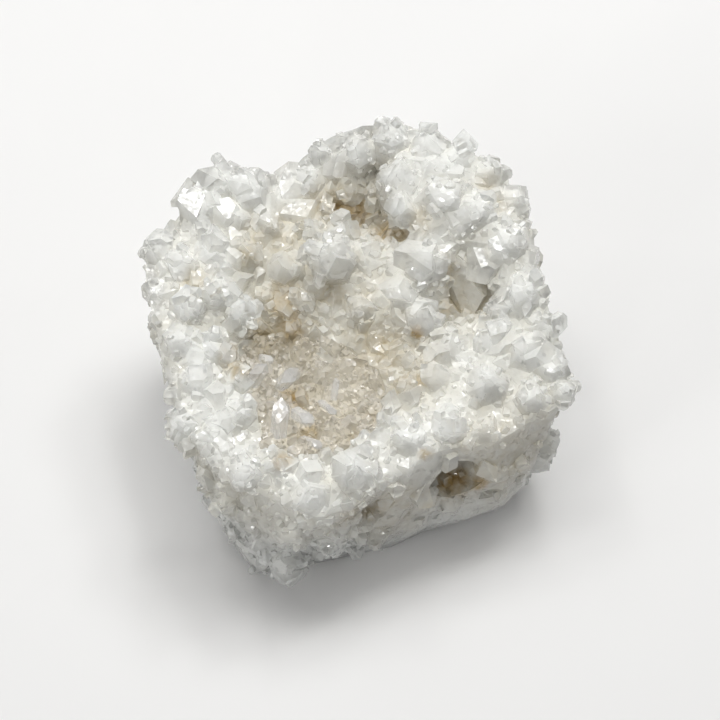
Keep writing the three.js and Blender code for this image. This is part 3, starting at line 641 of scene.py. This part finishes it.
def facet_group():
    """Tiny flat growth faces, each tipped its own way: turns the normal, cell by cell."""
    tree = bpy.data.node_groups.new("growth_faces", "ShaderNodeTree")
    for name in ("Size", "Tip", "Cover"):
        tree.interface.new_socket(name, in_out="INPUT", socket_type="NodeSocketFloat")
    tree.interface.new_socket("Normal", in_out="OUTPUT", socket_type="NodeSocketVector")
    given = put(tree, "NodeGroupInput")
    place = put(tree, "ShaderNodeTexCoord")
    bent = put(
        tree, "ShaderNodeTexNoise",
        {"Vector": outlet(place, "Object"), "Scale": 700.0, "Detail": 0.0})
    bent = scaled(tree, outlet(bent, "Color"), 0.0006)
    bent = vectors(tree, "ADD", outlet(place, "Object"), bent)
    cells = put(
        tree, "ShaderNodeTexVoronoi", {"Vector": bent, "Scale": outlet(given, "Size")},
        feature="F1")
    chance = put(tree, "ShaderNodeSeparateColor", {"Color": outlet(cells, "Color")})
    chance = sums(tree, "FRACT", sums(tree, "MULTIPLY", outlet(chance, "Red"), 17.0))
    steep = put(
        tree, "ShaderNodeMapRange",
        {"Value": chance, "From Min": sums(tree, "SUBTRACT", 1.0, outlet(given, "Cover")),
         "From Max": 1.0, "To Min": 0.12, "To Max": 1.0}, clamp=True)
    lean = vectors(tree, "SUBTRACT", outlet(cells, "Color"), (0.5, 0.5, 0.5))
    clean = put(tree, "ShaderNodeAttribute", attribute_name="clean")
    calm = sums(tree, "MULTIPLY_ADD", outlet(clean, "Fac"), -0.45, 1.0)
    tip = sums(tree, "MULTIPLY", outlet(given, "Tip"), calm)
    lean = scaled(tree, lean, sums(tree, "MULTIPLY", steep, tip))
    normal = outlet(put(tree, "ShaderNodeNewGeometry"), "Normal")
    turned = vectors(tree, "NORMALIZE", vectors(tree, "ADD", normal, lean))
    put(tree, "NodeGroupOutput", {"Normal": turned})
    return tree


def grain_group():
    """Fine etching on crystal faces, as a height for bump."""
    tree = bpy.data.node_groups.new("fine_etching", "ShaderNodeTree")
    tree.interface.new_socket("Height", in_out="OUTPUT", socket_type="NodeSocketFloat")
    place = put(tree, "ShaderNodeTexCoord")
    fine = put(
        tree, "ShaderNodeTexNoise",
        {"Vector": outlet(place, "Object"), "Scale": 1300.0, "Detail": 1.0, "Roughness": 0.6})
    put(tree, "NodeGroupOutput", {"Height": fine.outputs[0]})
    return tree


quartz_clouds = cloud_group()
iron_stain_and_shade = stain_and_shade_group()
growth_faces = facet_group()
fine_etching = grain_group()


def group(tree, which, values=None):
    made = put(tree, "ShaderNodeGroup", node_tree=which)
    for name, value in (values or {}).items():
        put_in(tree, made.inputs[name], value)
    return made


def blank_material(name):
    made = bpy.data.materials.new(name)
    made.use_nodes = True
    made.node_tree.nodes.clear()
    return made


def clear_stone(name, clean, cloudy, strength, transmission, ior, faces):
    """Clear to milky crystal, tinted tan in the creases by stain and painted shade. Shadow rays
    pass through it, which lightens its shadows; the tint is in the base colour, with no absorption."""
    made = blank_material(name)
    tree = made.node_tree
    clouds = group(tree, quartz_clouds, {"Grain": 260.0})
    tone = put(tree, "ShaderNodeAttribute", attribute_name="tone")
    clouds = sums(tree, "MULTIPLY", clouds, 0.6)
    clouds = sums(tree, "MULTIPLY_ADD", outlet(tone, "Fac"), 0.5, clouds, clamp=True)
    pale = put(tree, "ShaderNodeMix", {0: clouds, "A": clean, "B": cloudy}, data_type="RGBA")
    # Stain and painted shade weigh fully at the crystals' roots and half as much at their tips.
    rise = put(tree, "ShaderNodeAttribute", attribute_name="rise")
    low = put(
        tree, "ShaderNodeMapRange",
        {"Value": outlet(rise, "Fac"), "From Min": 0.0, "From Max": 0.8, "To Min": strength,
         "To Max": strength * 0.5}, clamp=True)
    # The tan serves both the iron stain and the painted shade of creases and recesses.
    colour = group(tree, iron_stain_and_shade, {
        "Clean": outlet(pale, "Result"), "Tan And Shade": (0.69, 0.645, 0.53, 1),
        "Rust": (0.56, 0.40, 0.17, 1), "Strength": low})
    rough = put(
        tree, "ShaderNodeMapRange", {"Value": clouds, "To Min": 0.02, "To Max": 0.1}, clamp=True)
    bump = put(
        tree, "ShaderNodeBump",
        {"Strength": 0.25, "Distance": 0.0002, "Height": group(tree, fine_etching),
         "Normal": group(tree, growth_faces, faces)})
    skin = put(
        tree, "ShaderNodeBsdfPrincipled",
        {"Base Color": colour, "Roughness": rough, "IOR": ior, "Transmission Weight": transmission,
         "Normal": bump})
    path = put(tree, "ShaderNodeLightPath")
    through = put(tree, "ShaderNodeBsdfTransparent", {"Color": (0.96, 0.96, 0.95, 1)})
    lit = put(tree, "ShaderNodeMixShader", {0: outlet(path, "Is Shadow Ray"), 1: skin, 2: through})
    put(tree, "ShaderNodeOutputMaterial", {"Surface": lit})
    return made


clear = clear_stone(
    "clear_quartz", (0.93, 0.94, 0.925, 1), (0.84, 0.84, 0.815, 1), 1.0, 0.5, QUARTZ_IOR,
    {"Size": 2400.0, "Tip": 1.1, "Cover": 0.4})
quartz_mesh = run_tree(druse, quartz_skin, "quartz_mass", {
    "Set By Hand": hand_set, "Large Seeds": large_seeds, "Small Seeds": small_seeds,
    "Large Spacing": 2.6 * MM, "Small Spacing": 1.25 * MM,
    "Large From": 1.0 * MM, "Large To": 2.0 * MM, "Small From": 0.5 * MM, "Small To": 1.0 * MM,
    "Patch": 110.0, "Tilt": 0.45, "Sink": -0.3,
    "Wear": 0.6 * MM, "Seed": 4, "Material": clear})
quartz_mesh.validate()
quartz_mesh.shade_flat()
quartz_mass = blank_object("quartz_mass", quartz_mesh)


# Milky inside. The root zone of the same quartz, clouded with tiny bubbles, which shows
# through the clear tips. It grew as one with the mass, and is a mesh of its own for its
# looks only: the skin drawn in a little, opaque, with an IOR kept low to weaken its gloss.
def inside_tree():
    tree = bpy.data.node_groups.new("milky_inside", "GeometryNodeTree")
    for name, kind in (
            ("Skin", "Geometry"), ("Voxel", "Float"), ("Band", "Float"), ("Depth", "Float"),
            ("Material", "Material")):
        tree.interface.new_socket(name, in_out="INPUT", socket_type="NodeSocket" + kind)
    tree.interface.new_socket("Inside", in_out="OUTPUT", socket_type="NodeSocketGeometry")
    given = put(tree, "NodeGroupInput")
    fog = put(
        tree, "GeometryNodeMeshToVolume",
        {"Mesh": outlet(given, "Skin"), "Voxel Size": outlet(given, "Voxel"),
         "Interior Band Width": outlet(given, "Band")}, resolution_mode="VOXEL_SIZE")
    shell = put(
        tree, "GeometryNodeVolumeToMesh",
        {"Volume": fog, "Voxel Size": outlet(given, "Voxel"), "Threshold": outlet(given, "Depth")},
        resolution_mode="VOXEL_SIZE")
    coated = put(
        tree, "GeometryNodeSetMaterial", {"Geometry": shell, "Material": outlet(given, "Material")})
    put(tree, "NodeGroupOutput", {"Inside": coated})
    return tree


def milky_material():
    made = blank_material("milky_quartz")
    tree = made.node_tree
    clouds = group(tree, quartz_clouds, {"Grain": 170.0})
    clean = put(
        tree, "ShaderNodeMix",
        {0: clouds, "A": (0.88, 0.88, 0.86, 1), "B": (0.76, 0.75, 0.71, 1)}, data_type="RGBA")
    # Tan stain, rust, and a tan painted shade where the sky doesn't reach, from the mesh's marks.
    colour = group(tree, iron_stain_and_shade, {
        "Clean": outlet(clean, "Result"), "Tan And Shade": (0.60, 0.55, 0.43, 1),
        "Rust": (0.45, 0.28, 0.08, 1), "Strength": 1.0})
    skin = put(
        tree, "ShaderNodeBsdfPrincipled",
        {"Base Color": colour, "Roughness": 0.6, "IOR": 1.2})
    put(tree, "ShaderNodeOutputMaterial", {"Surface": skin})
    return made


milky = milky_material()
inside_skin = merged_copy("quartz_matrix", "inside_skin")
inside_mesh = run_tree(inside_tree(), inside_skin, "quartz_inside", {
    "Voxel": 0.5 * MM, "Band": 2.0 * MM, "Depth": 0.3, "Material": milky})
inside_mesh.shade_smooth()
# The inside is tinted tan by the listed stains and by painted shade where the sky is hidden.
sky = sky_seen(inside_mesh, 9 * MM)
stained_and_shaded(inside_mesh, sky)
quartz_inside = blank_object("quartz_inside", inside_mesh)
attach(quartz_inside, "root")

near_inside = tree_of(inside_mesh)
first_corner = [polygon.vertices[0] for polygon in inside_mesh.polygons]


def sky_of_nearest(mesh):
    """The openness of the point of the milky inside that is nearest to each vertex."""
    return [sky[first_corner[near_inside.find_nearest(vertex.co)[2]]] for vertex in mesh.vertices]


# The shell takes its openness to the sky, and so its painted shade, from the nearest point of the
# inside; its stains come from its own places.
stained_and_shaded(quartz_mesh, sky_of_nearest(quartz_mesh))
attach(quartz_mass, "root")
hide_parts("quartz_matrix")
bpy.data.objects.remove(hand_set)


# Euclase. Small clear crystals with slanting ends and fine ribs along their sides, which
# stand in the hollow, each grown on the quartz by its foot.
# Node, then length, width and thickness, turn about the vertical, lean and roll.
EUCLASE_IOR = 1.655
RIB_WIDTH = 0.16
EUCLASE = (
    ("euclase_crystal_1", 3.4, 2.0, 1.6, -48, 30, 20),
    ("euclase_crystal_2", 3.2, 1.3, 0.8, -55, 28, 40),
    ("euclase_crystal_3", 4.6, 3.4, 2.0, 82, 46, 0),
    ("euclase_crystal_4", 3.4, 2.6, 1.7, 15, 52, 30),
    ("euclase_crystal_5", 3.2, 2.3, 1.5, 40, 46, -20),
    ("euclase_crystal_6", 2.6, 1.5, 1.0, -50, 50, 0),
    ("euclase_crystal_7", 2.8, 1.0, 0.6, 78, 40, 60),
    ("euclase_crystal_8", 3.2, 1.4, 1.0, -38, 30, 15))


def euclase_mesh(name, length, width, thick, chance):
    """A ribbed prism along Z, cut to a slanting chisel of a few clean faces at its top."""
    corners = [
        (width / 2, 0.25 * thick / 2), (0.35 * width / 2, thick / 2),
        (-0.45 * width / 2, thick / 2), (-width / 2, 0.2 * thick / 2),
        (-width / 2, -0.2 * thick / 2), (-0.45 * width / 2, -thick / 2),
        (0.35 * width / 2, -thick / 2), (width / 2, -0.25 * thick / 2)]
    outline = []
    for index, corner in enumerate(corners):
        here, there = Vector(corner), Vector(corners[(index + 1) % 8])
        run = there - here
        across = Vector((run.y, -run.x)).normalized()
        ribs = max(1, round(run.length / RIB_WIDTH))
        for rib in range(ribs):
            step = chance.uniform(-0.035, 0.0) if rib else 0.0
            share = (rib + (chance.uniform(-0.25, 0.25) if rib else 0)) / ribs
            outline.append(here + run * share + across * step)
    shape = bmesh.new()
    foot = [shape.verts.new((point.x, point.y, -length / 2)) for point in outline]
    face = shape.faces.new(foot)
    raised = bmesh.ops.extrude_face_region(shape, geom=[face])
    bmesh.ops.translate(
        shape, vec=(0, 0, length * 1.02),
        verts=[part for part in raised["geom"] if isinstance(part, bmesh.types.BMVert)])
    bmesh.ops.recalc_face_normals(shape, faces=shape.faces)
    tip = Vector((0.25 * width / 2, 0.1 * thick / 2, length / 2))
    for lean, turn in ((52, 175), (50, 78), (50, -82), (60, 12), (38, 130), (40, -140)):
        slope, angle = math.radians(lean), math.radians(turn + chance.uniform(-8, 8))
        facing = Vector((
            math.sin(slope) * math.cos(angle), math.sin(slope) * math.sin(angle), math.cos(slope)))
        trimmed(shape, facing, tip + facing * (0.05 if lean < 45 else 0.0))
    bmesh.ops.remove_doubles(shape, verts=shape.verts, dist=0.004)
    sharp = [edge for edge in shape.edges if edge.is_manifold and edge.calc_face_angle(0) > 0.5]
    bmesh.ops.bevel(
        shape, geom=sharp, offset=0.035, offset_type="OFFSET", segments=1, affect="EDGES",
        clamp_overlap=True)
    bmesh.ops.recalc_face_normals(shape, faces=shape.faces)
    mesh = bpy.data.meshes.new(name)
    shape.to_mesh(mesh)
    shape.free()
    return mesh


euclase_clear = clear_stone(
    "clear_euclase", (0.985, 0.978, 0.955, 1), (0.95, 0.93, 0.895, 1), 0.25, 0.72, EUCLASE_IOR,
    {"Size": 1800.0, "Tip": 0.8, "Cover": 0.4})
euclase_chance = random.Random(8)
euclase_trees = []
for node, length, width, thick, turn, lean, roll in EUCLASE:
    mesh = euclase_mesh(node, length, width, thick, euclase_chance)
    low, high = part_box(node)
    stand = (
        Matrix.Rotation(math.radians(turn), 4, "Z")
        @ Matrix.Rotation(math.pi / 2 - math.radians(lean), 4, "Y")
        @ Matrix.Rotation(math.radians(roll), 4, "Z") @ Matrix.Scale(MM, 4))
    mesh.transform(stand)
    spans = [[vertex.co[axis] for vertex in mesh.vertices] for axis in range(3)]
    middle = Vector([(max(span) + min(span)) / 2 for span in spans])
    mesh.transform(Matrix.Translation((Vector(low) + Vector(high)) / 2 - middle))
    mark(mesh, "rise", [0.6] * len(mesh.vertices))
    mark(mesh, "tone", [euclase_chance.uniform(0.0, 0.5)] * len(mesh.vertices))
    mark(mesh, "stain_and_shade", [0.15] * len(mesh.vertices))
    mark(mesh, "rust", [0.0] * len(mesh.vertices))
    mesh.materials.append(euclase_clear)
    mesh.validate()
    mesh.shade_flat()
    crystal = blank_object(node + "_ribbed", mesh)
    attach(crystal, "root")
    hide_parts(node)
    euclase_trees.append(tree_of(mesh))


# Hollow crust. The small crystals that line the hollow round the euclase, tan to rust
# brown from iron, grown fast on the quartz under them. Where the sky doesn't reach them
# they are a deeper tan, which is partly painted shade.
crust_clear = clear_stone(
    "stained_quartz", (0.87, 0.85, 0.81, 1), (0.78, 0.735, 0.65, 1), 1.0, 0.6, QUARTZ_IOR,
    {"Size": 3000.0, "Tip": 1.5, "Cover": 0.45})
divide_long(crust_skin, 0.9 * MM, 2)
crust_growth, crust_wear = [], []
for vertex in crust_skin.vertices:
    facing = eased(vertex.normal.z, 0.1, 0.5)
    beside = any(tree.find_nearest(vertex.co, 0.5 * MM)[0] is not None for tree in euclase_trees)
    crust_growth.append(0.12 * facing if beside else facing)
    crust_wear.append(facing)
mark(crust_skin, "grows", crust_growth)
mark(crust_skin, "wear", crust_wear)
mark(crust_skin, "coarse", [1.0] * len(crust_growth))
mark(crust_skin, "flush", [0.0] * len(crust_growth))
mark(crust_skin, "rise", [0.2] * len(crust_growth))
mark(crust_skin, "tone", [0.5] * len(crust_growth))
no_crystals = blank_object("no_crystals", bpy.data.meshes.new("no_crystals"))
crust_mesh = run_tree(druse, crust_skin, "hollow_druse", {
    "Set By Hand": no_crystals, "Large Seeds": small_seeds, "Small Seeds": small_seeds,
    "Large Spacing": 1.3 * MM, "Small Spacing": 0.6 * MM,
    "Large From": 0.5 * MM, "Large To": 1.0 * MM,
    "Small From": 0.22 * MM, "Small To": 0.55 * MM, "Patch": 260.0, "Tilt": 0.7, "Sink": -0.1,
    "Wear": 0.3 * MM, "Seed": 12, "Material": crust_clear})
crust_mesh.validate()
crust_mesh.shade_flat()
# Stain and rust, and a tan painted shade where the sky over the inside is hidden.
stained_and_shaded(crust_mesh, sky_of_nearest(crust_mesh))
hollow_druse = blank_object("hollow_druse", crust_mesh)
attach(hollow_druse, "root")
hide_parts("hollow_crust")
bpy.data.objects.remove(no_crystals)


# Floor, lights and camera. A sheet of pale paper under two soft windows from behind and a
# weaker one from the front left, with small bright lamps round them, so that faces glint.
REACH = 3.0
LIGHT_DISTANCE = 0.5
CAMERA_DISTANCE = 0.7
AIM = Vector((-0.00011, 0.001496, 0.013))
floor_mesh = bpy.data.meshes.new("floor")
floor_mesh.from_pydata(
    [(-REACH, -REACH, 0), (REACH, -REACH, 0), (REACH, REACH, 0), (-REACH, REACH, 0)],
    [], [(0, 1, 2, 3)])
floor = blank_object("floor", floor_mesh)
paper = bpy.data.materials.new("paper")
paper.use_nodes = True
paper.node_tree.nodes["Principled BSDF"].inputs["Base Color"].default_value = (0.885, 0.88, 0.87, 1)
paper.node_tree.nodes["Principled BSDF"].inputs["Roughness"].default_value = 0.9
floor_mesh.materials.append(paper)


def disk_light(name, azimuth, elevation, size, watts):
    lamp = bpy.data.lights.new(name, "AREA")
    lamp.shape = "DISK"
    lamp.size = size
    lamp.energy = watts
    made = bpy.data.objects.new(name, lamp)
    bpy.context.scene.collection.objects.link(made)
    turn, rise = math.radians(azimuth), math.radians(elevation)
    way = Vector((
        math.sin(turn) * math.cos(rise), -math.cos(turn) * math.cos(rise), math.sin(rise)))
    made.location = way * LIGHT_DISTANCE
    made.rotation_euler = way.to_track_quat("Z", "Y").to_euler()


disk_light("right_window", 148, 60, 0.27, 0.64)
disk_light("left_window", 222, 60, 0.36, 0.3)
disk_light("front_window", -62, 34, 0.16, 0.19)
for index, (azimuth, elevation, size, watts) in enumerate((
        (138, 54, 0.075, 0.17), (152, 66, 0.075, 0.19), (164, 57, 0.075, 0.17),
        (175, 73, 0.075, 0.15),
        (216, 57, 0.075, 0.14), (230, 66, 0.075, 0.13), (205, 70, 0.075, 0.12),
        (-52, 28, 0.05, 0.12), (-24, 22, 0.05, 0.1), (4, 32, 0.034, 0.03), (58, 36, 0.034, 0.03),
        (95, 42, 0.034, 0.04), (-96, 40, 0.034, 0.05))):
    disk_light(f"bright_lamp_{index}", azimuth, elevation, size, watts)

room = bpy.data.worlds.new("room")
bpy.context.scene.world = room
room.use_nodes = True
room.node_tree.nodes["Background"].inputs["Color"].default_value = (1.0, 1.0, 1.0, 1)
room.node_tree.nodes["Background"].inputs["Strength"].default_value = 0.21
scene = bpy.context.scene
scene.view_settings.view_transform = "Standard"
scene.cycles.max_bounces = 6
scene.cycles.diffuse_bounces = 2
scene.cycles.glossy_bounces = 2
scene.cycles.transmission_bounces = 4

ELEVATION = math.radians(60)
back = Vector((0, -math.cos(ELEVATION), math.sin(ELEVATION)))
up = Vector((0, math.sin(ELEVATION), math.cos(ELEVATION)))
right = Vector((1, 0, 0))
lens = bpy.data.cameras.new("camera")
lens.lens = 291.7
lens.sensor_width = 36
lens.clip_start = 0.01
lens.clip_end = 10
camera = bpy.data.objects.new("camera", lens)
scene.collection.objects.link(camera)
camera.location = AIM + right * 0.00024 - up * 0.0006 + back * CAMERA_DISTANCE
camera.rotation_euler = (-back).to_track_quat("-Z", "Y").to_euler()
scene.camera = camera
